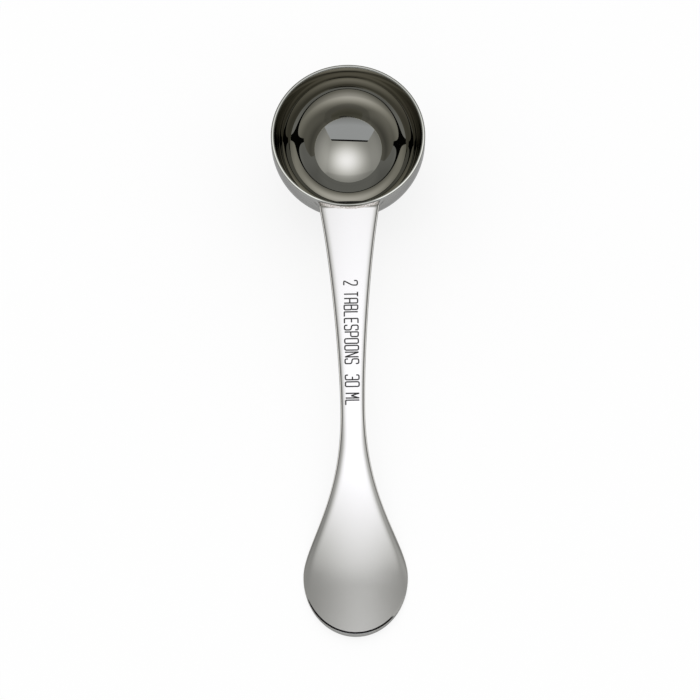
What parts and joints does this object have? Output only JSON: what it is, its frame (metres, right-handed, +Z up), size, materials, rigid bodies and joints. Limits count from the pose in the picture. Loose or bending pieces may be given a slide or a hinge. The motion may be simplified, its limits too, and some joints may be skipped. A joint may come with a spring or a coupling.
{
  "type": "coffee scoop",
  "caption": "Polished steel coffee scoop: a round half-sphere cup welded to a flat tapering handle that ends in a drop-shaped paddle.",
  "frame": {"origin": "on the table, under the middle of the bounding box", "axes": "+Z up from the table the scoop lies on, +Y from the handle's paddle to the cup, +X across"},
  "size_m": [0.0466, 0.1792, 0.0325],
  "materials": {
    "cup_steel": "mirror polished inside, fine satin outside",
    "handle_steel": "polished",
    "weld_steel": "dressed weld"
  },
  "bodies": {
    "root": {"scoop_cup": "cup_steel", "handle": "handle_steel", "weld_bead": "weld_steel"}
  },
  "joints": []
}
